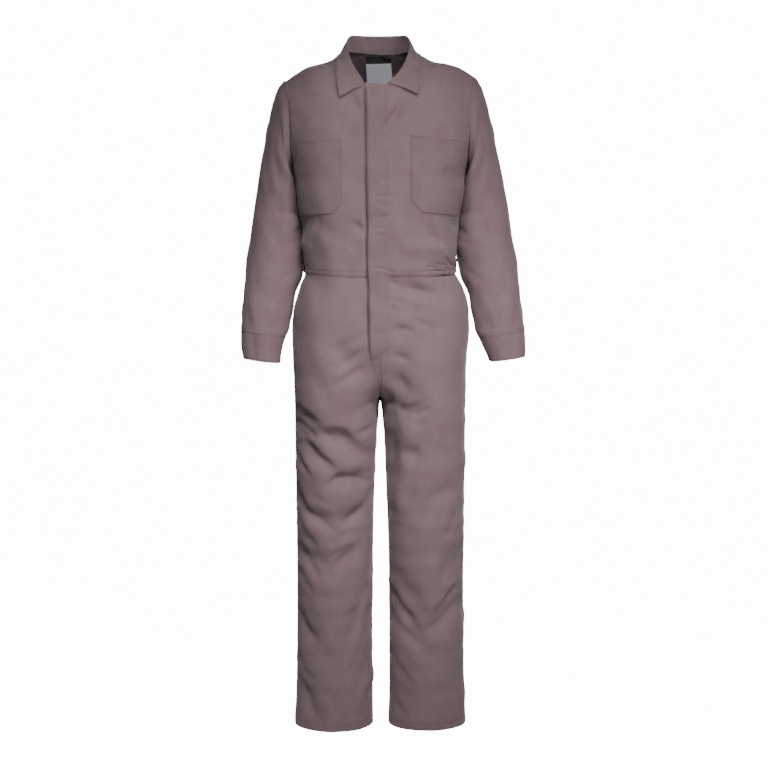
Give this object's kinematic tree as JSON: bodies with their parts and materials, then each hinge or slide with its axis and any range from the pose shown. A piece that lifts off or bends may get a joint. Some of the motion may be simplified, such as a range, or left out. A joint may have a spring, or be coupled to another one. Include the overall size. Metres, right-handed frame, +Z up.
{
  "type": "boiler suit",
  "caption": "Long-sleeved work coverall in grey twill with a fold-down collar, concealed front closure, chest pockets, buttonless cuffs, gathered back waist and straight legs, shown as worn.",
  "frame": {"origin": "middle of the neck, level with the nape, where the wearer holds the suit up", "axes": "+Z up, -Y out of the front of the suit, +X towards the wearer's left"},
  "size_m": [0.6686, 0.283, 1.6332],
  "materials": {
    "cloth": "matt twill",
    "zip_tape": "matt woven tape",
    "label_dark": "satin woven",
    "label_light": "satin"
  },
  "bodies": {
    "root": {"back": "cloth", "front_left": "cloth", "front_right": "cloth", "leg_front_left": "cloth", "leg_front_right": "cloth", "leg_back_left": "cloth", "leg_back_right": "cloth", "sleeve_left": "cloth", "sleeve_right": "cloth", "cuff_left": "cloth", "cuff_right": "cloth", "collar": "cloth", "fly": "cloth", "chest_pocket_left": "cloth", "chest_pocket_right": "cloth", "waist_elastic": "cloth", "pocket_facing_left": "cloth", "pocket_facing_right": "cloth", "zip_tape": "zip_tape", "neck_label": "label_dark", "care_label": "label_light"}
  },
  "joints": []
}
